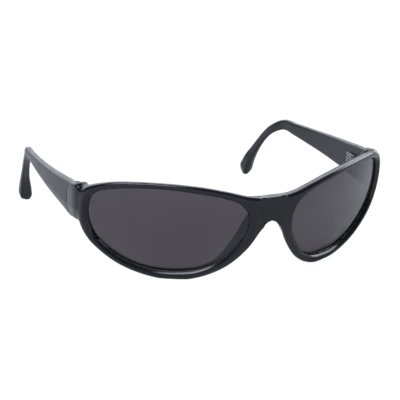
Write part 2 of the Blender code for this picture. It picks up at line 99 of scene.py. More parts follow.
def smooth_between(a, b, c, d, share):
    """Catmull-Rom curve through b and c, from b at share 0 to c at share 1."""
    s2 = share * share
    s3 = s2 * share
    return tuple(0.5 * (2 * q + (r - p) * share + (2 * p - 5 * q + 4 * r - s) * s2
                        + (3 * q - p - 3 * r + s) * s3) for p, q, r, s in zip(a, b, c, d))


def curve_at(keys, place):
    """Smooth open curve through keys at 0, 1, 2 and so on, straight on past both ends."""
    index = min(max(int(place), 0), len(keys) - 2)
    b, c = keys[index], keys[index + 1]
    a = keys[index - 1] if index > 0 else tuple(2 * p - q for p, q in zip(b, c))
    d = keys[index + 2] if index + 2 < len(keys) else tuple(2 * q - p for p, q in zip(b, c))
    return smooth_between(a, b, c, d, place - index)


def sheet_depth(x, z):
    """How far the lens face lies behind the brow, z above the bottom of the opening."""
    turn = WRAP_TURN * (abs(x) / WRAP_TURN_AT) ** 4
    return x * x / (2 * WRAP_RADIUS) + turn + (z - UPRIGHT_HEIGHT) ** 2 / (2 * DROP_RADIUS)


def on_sheet(x, z, depth):
    """Point on the sheet at (x, z), moved square to it; positive depth is behind the lens face."""
    step = 0.01
    slope_x = (sheet_depth(x + step, z) - sheet_depth(x - step, z)) / (2 * step)
    slope_z = (sheet_depth(x, z + step) - sheet_depth(x, z - step)) / (2 * step)
    back = Vector((-slope_x, 1.0, -slope_z)).normalized()
    return Vector((x, sheet_depth(x, z), z)) + back * depth


def opening_key(index):
    """Key point of the opening's edge, as (x, height)."""
    across, up = OUTLINE[index % len(OUTLINE)][:2]
    return (BRIDGE_WIDTH / 2 + across * LENS_WIDTH, up * LENS_HEIGHT)


def opening_at(place):
    """Point of the opening's edge; the outline's keys lie at whole numbers."""
    index = math.floor(place)
    keys = [opening_key(index + step) for step in (-1, 0, 1, 2)]
    return smooth_between(*keys, place - index)


def outer_key(index):
    """Point of the rim's outer edge; past the middle of the bridge it is the mirrored rim's."""
    if index < 0:
        x, z = outer_key(-index)
        return (-x, z)
    if index > LAST_KEY:
        x, z = outer_key(2 * LAST_KEY - index)
        return (-x, z)
    if index == 0:
        return (0.0, NOSE_ARCH)
    if index == LAST_KEY:
        return (0.0, BRIDGE_TOP)
    x, z = opening_key(index)
    return (x + OUTLINE[index][2], z + OUTLINE[index][3])


def outer_at(place):
    """Point of the rim's outer edge; past the last key it runs down the plane of symmetry."""
    if place >= LAST_KEY:
        share = place - LAST_KEY
        return (0.0, BRIDGE_TOP + (NOSE_ARCH - BRIDGE_TOP) * share)
    index = int(place)
    keys = [outer_key(index + step) for step in (-1, 0, 1, 2)]
    return smooth_between(*keys, place - index)


# ---- front: rims, bridge and nose flanges ----
# Each rim grips its lens in a groove. In front a lip slopes up from the lens to a rounded bead.
# At the temple side the face falls back from the lip to a crease, and behind the nose side a
# flange rests on the nose.

LENS_CLEAR = 0.1            # lens to the sides of its groove
LENS_GAP = 0.3              # lens to the bottom of its groove
GROOVE_DEPTH = 1.1
GROOVE_CUT = 0.06           # rounding of the groove's edges
LIP_FRONT = 1.6             # edge of the lip in front of the lens face
LIP_FACE = 0.5              # flat between the lip's edge and the bead
EDGE_CUT = 0.3              # rounding of the lip's and the back's plain edges
LEAST_CUT = 0.01            # rounding that is left where the rim runs into the bridge
RIM_CREST = 1.9             # bead in front of the lens face
BEAD_ROUND = 2.6            # the bead's front edge is rounded this far
BEAD_BACK = 0.6             # where the outer wall starts to fall in, behind the lens face
BEAD_BACK_ROUND = 1.2       # rounding there
BACK_FALL = 1.5             # how far it has fallen in at the back
BACK_ROUND = 0.6            # rounding of the back's outer edge and of the nose flange
CREASE_OUT = 0.72           # crease at the rim's corner, as a share of the reach
CREASE_FRONT = 0.9          # crease in front of the lens face
CORNER_SHARPER = 0.8        # how much less the bead is rounded at the rim's corner
CORNER_FALL_BACK = 1.1      # how much further back the outer wall starts to fall in there
CORNER_AHEAD = 0.7          # rim's corner in front of the lens face, for placing the front
CORNER_SPREAD = 2.4         # keys from the corner to where the plain bead takes over
BACK_LIP = 0.5              # lip behind the lens, set back from the opening
BACK_SLOPE = 0.6            # how far that lip slopes outward towards the back
BACK_SLOPE_DEEP = 0.8       # and over what depth
BACK_SLOPE_ROUND = 0.4
BACK_WALL = 1.4             # rim behind the groove
RIM_BACK = LENS_THICKNESS + LENS_GAP + BACK_WALL
PANEL_RECESS = 0.6          # panel in the middle of the bridge
PANEL_TOP = 6.2             # half the panel's width at the top
PANEL_BOTTOM = 4.2
PANEL_SLOPE = 1.1           # width of its sloping sides
PANEL_STEPS = 10
PANEL_PAST = 2              # steps that the panel runs on past the bridge's top and its arch
PANEL_TOOL_FRONT = 6.0      # how far the cutting tool stands out in front
PANEL_TOOL_FLARE = 1.0
BRIDGE_EASE = 0.8           # keys over which the rim's bead runs out towards the bridge
BRIDGE_DROP = 0.6           # rounding of the bridge's top edge and of its arch
FLANGE_DEPTH = 6.2
FLANGE_TIP = 1.6            # from its inner to its outer edge
FLANGE_SHARE = 0.6          # outer edge of the tip, at most this share of the rim's back
FLANGE_INSET = 0.15         # inner edge of the tip, as a share of the rim's back
FLANGE_POINTED = 1.3        # the higher, the more pointed it is along the rim
FLANGE_MIDDLE = 1.2         # key of the outline where the flange is deepest
FLANGE_SPREAD = 2.5         # keys from there to its ends
RIM_STATIONS = 10           # sections from one key of the outline to the next
CORNER_STEPS = 5            # straight pieces in each rounded corner
CORNER_MOST = 0.48          # most of an edge that one rounded corner may take
SMOOTH_BELOW = 35           # degrees; sharper edges of a new mesh stay hard
MOULDED_BELOW = 50          # the same for a finished moulding or stamping
IN_PLANE = 1e-8             # metres from the plane of symmetry
MIRROR_MERGE = 0.00005

hinge_place = Vector(frame["joints"][0]["pos_m"]) / MM
END_RISE = 0.47             # hinge axis's middle above the rim's corner
END_LENGTH = 12.18          # rim's corner to the rearmost point of the joint line
PIN_FORWARD = 0.8           # pin ahead of that point
rim_corner = on_sheet(*outer_at(CORNER_KEY), -CORNER_AHEAD)
LENS_LIFT = hinge_place.z - END_RISE - rim_corner.z
SHIFT_BACK = hinge_place.y + PIN_FORWARD - END_LENGTH - rim_corner.y


def rounded(corners):
    """Points along an outline of (x, y, cut): each corner is cut back by its cut and rounded."""
    points = []
    for index, (x, y, cut) in enumerate(corners):
        here = Vector((x, y))
        if not cut:
            points.append(here)
            continue
        before = Vector(corners[index - 1][:2]) - here
        after = Vector(corners[(index + 1) % len(corners)][:2]) - here
        start = here + before.normalized() * min(cut, CORNER_MOST * before.length)
        end = here + after.normalized() * min(cut, CORNER_MOST * after.length)
        for step in range(CORNER_STEPS + 1):
            share = step / CORNER_STEPS
            points.append(start * (1 - share) ** 2 + here * 2 * share * (1 - share)
                          + end * share ** 2)
    return points


def lip_slope_at(place):
    """Width of the slope from the lens up to the rim's face."""
    index = math.floor(place)
    keys = [(OUTLINE[(index + step) % len(OUTLINE)][4],) for step in (-1, 0, 1, 2)]
    return smooth_between(*keys, place - index)[0]


def flange_at(place):
    """Depth of the nose flange behind the rim, nothing beyond its ends."""
    if place > LAST_KEY / 2:
        place -= len(OUTLINE)
    away = abs(place - FLANGE_MIDDLE) / FLANGE_SPREAD
    return FLANGE_DEPTH * math.cos(away * math.pi / 2) ** FLANGE_POINTED if away < 1 else 0.0


def corner_share(place):
    """1 at the rim's corner, where the end piece leaves it, down to 0 on either side."""
    away = min(abs(place - CORNER_KEY) / CORNER_SPREAD, 1.0)
    return (1 + math.cos(away * math.pi)) / 2


def bridge_share(place):
    """1 over the bridge, where a section ends in the plane of symmetry, down to 0 along the rim."""
    if place >= LAST_KEY:
        return 1.0
    return max(1 - min(place, LAST_KEY - place) / BRIDGE_EASE, 0.0)


def edge_drop(place):
    """How far the bridge's face falls back towards its top edge and its arch."""
    if place < LAST_KEY:
        return BRIDGE_DROP * bridge_share(place)
    share = place - LAST_KEY
    inside = min(share, 1 - share) * (BRIDGE_TOP - NOSE_ARCH)
    return BRIDGE_DROP * max(1 - inside / BRIDGE_DROP, 0.0) ** 2


def rim_profile(place, reach):
    """Outline of the rim's section, as (outward from the opening, behind the lens face, cut)."""
    slope = lip_slope_at(place)
    corner = corner_share(place)
    plain = 1 - bridge_share(place)
    crest = reach * (1 - (1 - CREASE_OUT) * corner)
    crest_depth = -RIM_CREST + (RIM_CREST - CREASE_FRONT) * corner + edge_drop(place)
    fall = BACK_FALL * (1 - corner) * plain
    deep = RIM_BACK + flange_at(place)
    start = BACK_LIP + BACK_SLOPE
    land = reach - fall - start
    tip = min(FLANGE_SHARE * land, FLANGE_TIP)
    return rounded((
        (GROOVE_DEPTH, -LENS_CLEAR, 0.0),
        (0.0, -LENS_CLEAR, GROOVE_CUT),
        (slope, -LIP_FRONT, EDGE_CUT),
        (slope + LIP_FACE, -RIM_CREST, EDGE_CUT),
        (crest, crest_depth, (BEAD_ROUND - CORNER_SHARPER * corner) * plain + LEAST_CUT),
        (reach, BEAD_BACK + CORNER_FALL_BACK * corner, BEAD_BACK_ROUND * plain + LEAST_CUT),
        (reach - fall, RIM_BACK, BACK_ROUND * plain + LEAST_CUT),
        (start + tip, deep, BACK_ROUND),
        (start + FLANGE_INSET * land, deep, BACK_ROUND),
        (start, RIM_BACK, EDGE_CUT),
        (BACK_LIP, RIM_BACK - BACK_SLOPE_DEEP, BACK_SLOPE_ROUND),
        (BACK_LIP, LENS_THICKNESS + LENS_CLEAR, GROOVE_CUT),
        (GROOVE_DEPTH, LENS_THICKNESS + LENS_CLEAR, 0.0),
    ))


def rim_section(place):
    """Loop of points around the rim at one place of the outline."""
    inner = Vector(opening_at(place))
    outer = Vector(outer_at(place))
    reach = (outer - inner).length
    way = (outer - inner) / reach
    points = []
    for along, depth in rim_profile(place, reach):
        spot = inner + way * along
        points.append(on_sheet(spot.x, spot.y, depth))
    return points


def in_world(point, side=1):
    """Point of the left half, in metres in the shared frame, or its mirror image."""
    return Vector((side * point[0], point[1] + SHIFT_BACK, point[2])) * MM


def loft(build, loops, closed_path=False):
    """Skin between loops of equally many points; returns the loops' vertices."""
    rows = [[build.verts.new(point) for point in loop] for loop in loops]
    count = len(rows[0])
    pairs = list(zip(rows, rows[1:]))
    if closed_path:
        pairs.append((rows[-1], rows[0]))
    for first, second in pairs:
        for i in range(count):
            j = (i + 1) % count
            build.faces.new((first[i], first[j], second[j], second[i]))
    return rows


def shade(mesh, below):
    """Smooth shading, with edges sharper than so many degrees left hard."""
    mesh.shade_smooth()
    mesh.set_sharp_from_angle(angle=math.radians(below))


def as_object(name, build):
    """Object from a bmesh, with its faces outwards."""
    bmesh.ops.recalc_face_normals(build, faces=build.faces[:])
    mesh = bpy.data.meshes.new(name)
    build.to_mesh(mesh)
    build.free()
    made = bpy.data.objects.new(name, mesh)
    bpy.context.scene.collection.objects.link(made)
    shade(mesh, SMOOTH_BELOW)
    return made


def apply_modifiers(piece):
    """Puts the piece's mesh as its modifiers leave it in place of its own."""
    graph = bpy.context.evaluated_depsgraph_get()
    mesh = bpy.data.meshes.new_from_object(piece.evaluated_get(graph))
    piece.modifiers.clear()
    piece.data = mesh


def build_front():
    """Both rims and the bridge: a left half, open at the plane of symmetry, and its mirror."""
    places = [i / RIM_STATIONS for i in range(len(OUTLINE) * RIM_STATIONS)]
    loops = [[(p.x, p.y, max(p.z + LENS_LIFT, 0.0)) for p in rim_section(place)]
             for place in places]
    build = bmesh.new()
    loft(build, [[in_world(p) for p in loop] for loop in loops], closed_path=True)
    in_plane = [face for face in build.faces
                if all(abs(vert.co.x) < IN_PLANE for vert in face.verts)]
    bmesh.ops.delete(build, geom=in_plane, context="FACES_ONLY")
    loose = [vert for vert in build.verts if not vert.link_faces]
    bmesh.ops.delete(build, geom=loose, context="VERTS")
    front = as_object("front_moulding", build)
    mirror = front.modifiers.new("other half", "MIRROR")
    mirror.merge_threshold = MIRROR_MERGE
    mirror.use_clip = True
    return front


def bridge_panel():
    """Tool for the sunk panel: its floor follows the sheet, and its sides slope."""
    build = bmesh.new()
    loops = []
    for row in range(-PANEL_PAST, PANEL_STEPS + PANEL_PAST + 1):
        share = row / PANEL_STEPS
        z = BRIDGE_TOP + (NOSE_ARCH - BRIDGE_TOP) * share
        half = PANEL_TOP + (PANEL_BOTTOM - PANEL_TOP) * share
        outline = [(-half - PANEL_TOOL_FLARE, -PANEL_TOOL_FRONT), (-half, -RIM_CREST)]
        for step in range(PANEL_STEPS + 1):
            outline.append(((half - PANEL_SLOPE) * (2 * step / PANEL_STEPS - 1), -PANEL_RECESS))
        outline += [(half, -RIM_CREST), (half + PANEL_TOOL_FLARE, -PANEL_TOOL_FRONT)]
        loop = []
        for x, depth in outline:
            point = on_sheet(x, z, depth)
            loop.append(in_world((point.x, point.y, point.z + LENS_LIFT)))
        loops.append(loop)
    rows = loft(build, loops)
    build.faces.new(rows[0])
    build.faces.new(rows[-1])
    return as_object("bridge panel", build)


# ---- front: end pieces ----
# An end piece turns the corner from each rim to its temple and carries the front leaf of the hinge.
# It is part of the same moulding: a flat-sided block that tapers back to a bowed joint line.

END_HEIGHT = 15.6
END_RISE_BACK = -0.7        # middle of the joint line above the hinge's middle
END_THICKNESS = 3.6
END_ROOT = 6.4              # thickness where the end piece leaves the rim
END_INSET = 0.84            # outer face at the joint, inboard of the rim's corner
JOINT_BOW = 22.0            # twice the radius of the bowed joint line
JOINT_BOW_BELOW = 2.6       # rearmost point of the joint line, below its middle
JOINT_GAP = 0.3             # end piece to temple
END_MIDDLE = hinge_place.z
END_OUT = rim_corner.x - END_INSET
END_IN = END_OUT - END_THICKNESS
JOINT_BACK = rim_corner.y + END_LENGTH
LEAF_LENGTH = 7.6
LEAF_THICKNESS = 1.0
LEAF_HALF = 2.85            # half the height of a hinge leaf
SEAT_ROOM = 4.0             # clear space inboard of each front leaf
SEAT_GAP = 0.3
SEAT_AHEAD = 0.8            # clear space ahead of it
SEAT_PAST = 1.0             # how far the cut runs on past the joint
END_STEPS = 8               # sections from one key of the end piece to the next
END_STAGGER = 0.02          # keeps crowded sections apart in front of the joint line
SKIN_SIZE = 0.26            # fineness of the skin over rims and end pieces
BLEND_CENTRE = (-0.6, 0.4)  # out and back from the rim's corner
BLEND_REACH = 6.0           # how far from there the two are eased together
BLEND_FADE = 2.0            # over which the easing dies out
BLEND_ROUNDS = 40
EVEN_ROUNDS = 3
EASE = 0.5                  # how far each round moves a point
FACES_KEPT = 0.45           # share of the skin's faces that are kept
FILLET_RADIUS = 3.6         # of the hollow between rim and end piece

# Lowest and highest corners, out and back from the rim's corner (the second is back from the joint)
# and up from the hinge: all that a fillet is worked out from, and the two parts of it that are kept
FILLET_WITHIN = ((-12.0, -9.0, -17.0), (4.0, 3.0, 18.0))
FILLETS_KEPT = (
    ((-3.4, -2.6, -9.5), (3.0, -4.5, 9.0)),
    ((-6.2, -2.6, 7.6), (3.0, -4.5, 14.0)),
)


def joint_depth(z):
    """Bowed line where end piece and temple meet."""
    return JOINT_BACK - (z - END_MIDDLE + JOINT_BOW_BELOW) ** 2 / JOINT_BOW


def arm_outline(height, thickness):
    """Section of end piece and temple: (inboard of the outer face, above the centre, cut)."""
    top = height / 2
    corner = min(0.3 * height, 1.3)
    return rounded((
        (0.30 * thickness, top, 0.3),
        (0.05 * thickness, top - 0.5 * corner, 0.3),
        (0.0, 0.25 * height, 1.2),
        (0.0, -0.15 * height, 0.6),
        (0.24 * thickness, -top + corner, 0.5),
        (0.50 * thickness, -top + 0.1 * corner, 0.3),
        (0.80 * thickness, -top, 0.3),
        (0.97 * thickness, -top + 0.6 * corner, 0.3),
        (thickness, -0.2 * height, 0.3),
        (thickness, 0.2 * height, 0.3),
        (0.97 * thickness, top - 0.6 * corner, 0.3),
        (0.85 * thickness, top, 0.3),
    ))


def cap(build, row):
    """Close a section's end with a ladder of faces between its outer and its inner side."""
    last = len(row) - 1
    for i in range(len(row) // 2 - 1):
        build.faces.new((row[i], row[i + 1], row[last - i - 1], row[last - i]))


def end_piece(side):
    """Corner block from inside the rim back to the joint."""
    rim_x, rim_y = rim_corner.xy
    # outer face, depth, height, middle above the hinge, thickness
    keys = (
        (rim_x - 1.5, rim_y - 2.0, 9.5, 0.4, 0.3 * END_ROOT),
        (rim_x - 0.8, rim_y - 0.7, 14.2, 0.8, 0.6 * END_ROOT),
        (rim_x - 0.4, rim_y + 1.2, 16.4, 0.6, END_ROOT),
        (rim_x - 0.3, rim_y + 4.0, 16.3, 0.1, (END_ROOT + END_THICKNESS) / 2),
        (END_OUT, JOINT_BACK, END_HEIGHT, END_RISE_BACK, END_THICKNESS),
    )
    count = END_STEPS * (len(keys) - 1)
    loops = []
    for index in range(count + 1):
        out, depth, height, rise, thickness = curve_at(keys, index / END_STEPS)
        loop = []
        for inboard, up in arm_outline(height, thickness):
            z = END_MIDDLE + rise + up
            y = min(depth, joint_depth(z) - JOINT_GAP / 2 - END_STAGGER * (count - index))
            if index == count:
                y = joint_depth(z) - JOINT_GAP / 2
            loop.append(in_world((out - inboard, y, z), side))
        loops.append(loop)
    build = bmesh.new()
    rows = loft(build, loops)
    cap(build, rows[0])
    cap(build, rows[-1])
    return as_object("end piece", build)


def block(build, middle, size):
    """Closed box of a size around its middle, in metres."""
    bmesh.ops.create_cube(build, size=1.0, matrix=Matrix.Translation(middle)
                          @ Matrix.Diagonal((*size, 1.0)))


def box(build, low, high, side):
    """Closed box between two corners of the left half, in millimetres, or its mirror image."""
    block(build, in_world((Vector(low) + Vector(high)) / 2), (Vector(high) - Vector(low)) * MM)
    for vert in build.verts:
        vert.co.x *= side


def leaf_seat(side):
    """Room for the front leaf: a flat seat on the end piece, open towards the head."""
    build = bmesh.new()
    pin_y = JOINT_BACK - PIN_FORWARD
    low = (END_IN - SEAT_GAP - LEAF_THICKNESS - SEAT_ROOM, pin_y - LEAF_LENGTH - SEAT_AHEAD,
           END_MIDDLE - LEAF_HALF - SEAT_GAP)
    high = (END_IN, JOINT_BACK + SEAT_PAST, END_MIDDLE + LEAF_HALF + SEAT_GAP)
    box(build, low, high, side)
    return as_object("leaf seat", build)


def combine(piece, tool, operation):
    """Boolean with a tool that is then removed."""
    cut = piece.modifiers.new("shape", "BOOLEAN")
    cut.object = tool
    cut.operation = operation
    cut.solver = "EXACT"
    apply_modifiers(piece)
    bpy.data.objects.remove(tool, do_unlink=True)


def join(piece, tool):
    """Adds a tool's faces to the piece; the skin over both then makes them one."""
    build = bmesh.new()
    build.from_mesh(piece.data)
    build.from_mesh(tool.data)
    build.to_mesh(piece.data)
    build.free()
    bpy.data.objects.remove(tool, do_unlink=True)


def copy_of(piece, name):
    """New object with a copy of the piece's mesh."""
    made = bpy.data.objects.new(name, piece.data.copy())
    bpy.context.scene.collection.objects.link(made)
    return made


def skin_over(piece, swell=0.0):
    """One even skin over a piece, moved out by swell millimetres beforehand."""
    if swell:
        move = piece.modifiers.new("swell", "DISPLACE")
        move.strength = swell * MM
        move.mid_level = 0.0
    skin = piece.modifiers.new("one skin", "REMESH")
    skin.mode = "VOXEL"
    skin.voxel_size = SKIN_SIZE * MM
    apply_modifiers(piece)


def part_within(piece, low, high, side):
    """The part of a piece between two corners, given as those of FILLET_WITHIN."""
    x, y = rim_corner.xy
    build = bmesh.new()
    box(build, (x + low[0], y + low[1], END_MIDDLE + low[2]),
        (x + high[0], JOINT_BACK + high[1], END_MIDDLE + high[2]), side)
    part = copy_of(piece, "part")
    combine(part, as_object("limits", build), "INTERSECT")
    return part


def corner_fillets(piece, side):
    """Fillings of the hollow between rim and end piece, clear of the lens and its groove."""
    whole = part_within(piece, *FILLET_WITHIN, side)
    skin_over(whole)
    skin_over(whole, FILLET_RADIUS)
    skin_over(whole, -FILLET_RADIUS)
    kept = [part_within(whole, low, high, side) for low, high in FILLETS_KEPT]
    bpy.data.objects.remove(whole, do_unlink=True)
    return kept


def blend_corners(piece):
    """Eases rims and end pieces together where they meet."""
    corner = in_world((rim_corner.x + BLEND_CENTRE[0], rim_corner.y + BLEND_CENTRE[1], 0.0))
    group = piece.vertex_groups.new(name="corner")
    for vert in piece.data.vertices:
        away = math.hypot(abs(vert.co.x) - corner.x, vert.co.y - corner.y) / MM
        share = min(max((BLEND_REACH - away) / BLEND_FADE, 0.0), 1.0)
        if share:
            group.add([vert.index], share, "REPLACE")
    ease = piece.modifiers.new("ease", "SMOOTH")
    ease.factor = EASE
    ease.iterations = BLEND_ROUNDS
    ease.vertex_group = group.name
    even = piece.modifiers.new("even out", "SMOOTH")
    even.factor = EASE
    even.iterations = EVEN_ROUNDS
    fewer = piece.modifiers.new("fewer faces", "DECIMATE")
    fewer.ratio = FACES_KEPT
    apply_modifiers(piece)


front = build_front()
apply_modifiers(front)
for side in (1, -1):
    join(front, end_piece(side))
skin_over(front)
fillets = corner_fillets(front, 1) + corner_fillets(front, -1)
combine(front, bridge_panel(), "DIFFERENCE")
for fillet in fillets:
    join(front, fillet)
skin_over(front)
blend_corners(front)
for side in (1, -1):
    combine(front, leaf_seat(side), "DIFFERENCE")
shade(front.data, MOULDED_BELOW)


def uneven_finish(name, patches, colours, gloss, range_shown=(0.0, 1.0)):
    """Material whose colour and roughness drift between two of each, over soft patches.

    patches is (scale, detail, distortion), and range_shown is the part of them that alters gloss.
    """
    made = bpy.data.materials.new(name)
    made.use_nodes = True
    nodes = made.node_tree.nodes
    links = made.node_tree.links
    shader = nodes["Principled BSDF"]
    place = nodes.new("ShaderNodeTexCoord")
    noise = nodes.new("ShaderNodeTexNoise")
    for socket, value in zip(("Scale", "Detail", "Distortion"), patches):
        noise.inputs[socket].default_value = value
    tint = nodes.new("ShaderNodeMix")
    tint.data_type = "RGBA"
    tint.inputs["A"].default_value = (*colours[0], 1.0)
    tint.inputs["B"].default_value = (*colours[1], 1.0)
    dull = nodes.new("ShaderNodeMapRange")
    for socket, value in zip(("From Min", "From Max", "To Min", "To Max"), (*range_shown, *gloss)):
        dull.inputs[socket].default_value = value
    links.new(place.outputs["Object"], noise.inputs["Vector"])
    links.new(noise.outputs["Fac"], tint.inputs["Factor"])
    links.new(tint.outputs["Result"], shader.inputs["Base Color"])
    links.new(noise.outputs["Fac"], dull.inputs["Value"])
    links.new(dull.outputs["Result"], shader.inputs["Roughness"])
    return made


def moulded_nylon(name, colour, roughness):
    """Black nylon out of a polished mould: fine grain and a few dull patches."""
    made = uneven_finish(name, (90.0, 4.0, 0.0),
                         ([c * 0.8 for c in colour], [c * 1.25 for c in colour]),
                         (roughness - 0.04, roughness + 0.05), (0.3, 0.7))
    nodes = made.node_tree.nodes
    links = made.node_tree.links
    shader = nodes["Principled BSDF"]
    shader.inputs["IOR"].default_value = 1.53
    shader.inputs["Specular IOR Level"].default_value = 0.5
    place = nodes.new("ShaderNodeTexCoord")
    grain = nodes.new("ShaderNodeTexNoise")
    grain.inputs["Scale"].default_value = 2600.0
    grain.inputs["Detail"].default_value = 3.0
    bump = nodes.new("ShaderNodeBump")
    bump.inputs["Strength"].default_value = 0.06
    bump.inputs["Distance"].default_value = 0.00002
    links.new(place.outputs["Object"], grain.inputs["Vector"])
    links.new(grain.outputs["Fac"], bump.inputs["Height"])
    links.new(bump.outputs["Normal"], shader.inputs["Normal"])
    return made


front.data.materials.clear()
front.data.materials.append(moulded_nylon("front_nylon", (0.006, 0.006, 0.009), 0.18))
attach(front, "front")
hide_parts("front_frame")


# ---- lenses ----
# Each lens is a curved shield of smoke polycarbonate, 2.2 mm thick, snapped into the rim's groove.
# It is polished, hard coated and dyed through, so what lies behind it only just shows.

LENS_RINGS = 24             # from the middle of the lens to its edge
LENS_EDGE = 0.15            # rounding of that edge


def lens_loop(share, inset, depth, side):
    """Loop at a share of the way from the lens's middle to its edge, less an inset."""
    middle = Vector((BRIDGE_WIDTH / 2 + LENS_WIDTH / 2, LENS_HEIGHT / 2))
    loop = []
    for index in range(len(OUTLINE) * RIM_STATIONS):
        place = index / RIM_STATIONS
        inner = Vector(opening_at(place))
        way = (Vector(outer_at(place)) - inner).normalized()
        edge = inner + way * (GROOVE_DEPTH - LENS_GAP - inset)
        spot = middle + (edge - middle) * share
        point = on_sheet(spot.x, spot.y, depth)
        loop.append(in_world((point.x, point.y, point.z + LENS_LIFT), side))
    return loop


def build_lens(side, name):
    """Front face from its middle outwards, rounded edge, and back face to the middle again."""
    rings = [(i + 1) / LENS_RINGS for i in range(LENS_RINGS)]
    loops = [lens_loop(share, LENS_EDGE, 0.0, side) for share in rings]
    loops.append(lens_loop(1.0, 0.0, LENS_EDGE, side))
    loops.append(lens_loop(1.0, 0.0, LENS_THICKNESS - LENS_EDGE, side))
    loops += [lens_loop(share, LENS_EDGE, LENS_THICKNESS, side) for share in reversed(rings)]
    build = bmesh.new()
    rows = loft(build, loops)
    for row in (rows[0], rows[-1]):
        hub = build.verts.new(sum((vert.co for vert in row), Vector()) / len(row))
        for i in range(len(row)):
            build.faces.new((row[i], row[(i + 1) % len(row)], hub))
    return as_object(name, build)


def smoke_polycarbonate(name):
    """Dyed clear plastic with a polished face, a breath of haze and the odd smear."""
    made = uneven_finish(name, (60.0, 5.0, 0.6),
                         ((0.052, 0.047, 0.056), (0.060, 0.054, 0.064)),
                         (0.015, 0.06), (0.45, 0.75))
    shader = made.node_tree.nodes["Principled BSDF"]
    shader.inputs["Transmission Weight"].default_value = 1.0
    shader.inputs["IOR"].default_value = 1.58
    return made


smoke = smoke_polycarbonate("smoke_polycarbonate")
for hand, side in (("left", 1), ("right", -1)):
    lens = build_lens(side, hand + "_lens_shield")
    lens.data.materials.append(smoke)
    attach(lens, "front")
    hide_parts(hand + "_lens")


# ---- temples ----
# A temple is a tapering arm of the same nylon, flat sided, with a narrow top, a facet along its
# lower outer edge, a bend over the ear and a rounded bulb at the tip.

TEMPLE_STRAIGHT = 67.0      # joint to the bend over the ear
HOOK_RUN = 27.5             # bend to the rearmost point
TIP_HEIGHT = 6.5
TEMPLE_TUCK = 4.6           # how far the bend lies inboard of the joint
TIP_TUCK = 5.8              # how far the tip lies inboard of the bend
REST_LAND = 0.40            # depth of the flat that the tip stands on
TEMPLE_STATIONS = 8         # sections from one key to the next
TANGENT_STEP = 0.05         # keys to either side that give a section its direction
TIP_STEP = 8                # degrees from one section of the rounded tip to the next
SAME_PLACE = 0.000001       # metres; closer points are merged

# Share of the straight part, height, thickness, middle above the hinge's middle
STRAIGHT_KEYS = (
    (0.00, END_HEIGHT, END_THICKNESS, END_RISE_BACK),
    (0.16, 13.2, 3.5, -0.5),
    (0.34, 11.2, 3.2, -0.4),
    (0.52, 9.2, 3.0, -0.3),
    (0.69, 7.5, 2.9, -0.2),
    (0.86, 5.8, 2.9, 0.0),
    (1.00, 4.7, 2.9, 0.1),
)
# Share of the hook's run, share of its drop to the table, height, thickness
HOOK_KEYS = (
    (0.28, 0.115, 4.0, 2.9),
    (0.48, 0.255, 3.7, 2.8),
    (0.65, 0.420, 3.9, 3.0),
    (0.79, 0.580, 4.4, 3.6),
    (0.90, 0.730, 5.6, 4.6),
    (0.98, 0.875, TIP_HEIGHT, 5.3),
)


def temple_stations():
    """Centre, height and thickness along the temple, as one smooth curve of keys."""
    bend = JOINT_BACK + TEMPLE_STRAIGHT
    rise = STRAIGHT_KEYS[-1][3]
    drop = END_MIDDLE + rise
    keys = []
    for share, height, thickness, up in STRAIGHT_KEYS:
        tuck = TEMPLE_TUCK * share * share
        keys.append((END_OUT - tuck, JOINT_BACK + share * TEMPLE_STRAIGHT, END_MIDDLE + up,
                     height, thickness))
    for run, fall, height, thickness in HOOK_KEYS:
        tuck = TEMPLE_TUCK + TIP_TUCK * run * (3 - run) / 2
        keys.append((END_OUT - tuck, bend + run * HOOK_RUN, END_MIDDLE + rise - fall * drop,
                     height, thickness))
    return keys


def temple_loops():
    """Sections square to the temple's run, then those of the rounded tip, down to the rest flat."""
    keys = temple_stations()
    last = len(keys) - 1
    loops = []
    for index in range(TEMPLE_STATIONS * last + 1):
        place = index / TEMPLE_STATIONS
        out, y, z, height, thickness = curve_at(keys, place)
        ahead = curve_at(keys, min(place + TANGENT_STEP, last))
        behind = curve_at(keys, max(place - TANGENT_STEP, 0.0))
        along = Vector((0.0, ahead[1] - behind[1], ahead[2] - behind[2])).normalized()
        rise = Vector((0.0, -along.z, along.y))
        loop = []
        for inboard, up in arm_outline(height, thickness):
            point = Vector((out - inboard, y, z)) + rise * up
            if index == 0:
                point.y = joint_depth(point.z) + JOINT_GAP / 2
            loop.append(point)
        loops.append(loop)
    centre = sum(loops[-1], Vector()) / len(loops[-1])
    length = (centre.z + REST_LAND) / abs(along.z)
    body = loops[-1]
    for degrees in range(TIP_STEP, 90, TIP_STEP):
        angle = math.radians(degrees)
        moved = centre + along * length * math.sin(angle)
        loops.append([moved + (point - centre) * math.cos(angle) for point in body])
    return [[(p.x, p.y, max(p.z, 0.0)) for p in loop] for loop in loops]


def build_temple(side, name):
    """Loft of the sections, closed at both ends."""
    build = bmesh.new()
    rows = loft(build, [[in_world(p, side) for p in loop] for loop in temple_loops()])
    cap(build, rows[0])
    cap(build, rows[-1])
    bmesh.ops.remove_doubles(build, verts=build.verts[:], dist=SAME_PLACE)
    return as_object(name, build)


nylon = moulded_nylon("temple_nylon", (0.009, 0.009, 0.012), 0.24)
for hand, side in (("left", 1), ("right", -1)):
    temple = build_temple(side, hand + "_temple_arm")
    temple.data.materials.append(nylon)
    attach(temple, hand + "_temple")
    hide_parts(hand + "_temple")


# ---- hinges and screws ----
# Each hinge is two stamped steel leaves with rolled knuckles, turned on a pivot screw.
# Two short screws hold each leaf to its moulding.

LEAF_ROUND = 0.14           # rounding of a leaf's edges
SCREW_ROUND = 0.06
SLOT_WIDTH = 0.36           # driver slot across a screw's head
SLOT_DEPTH = 0.26


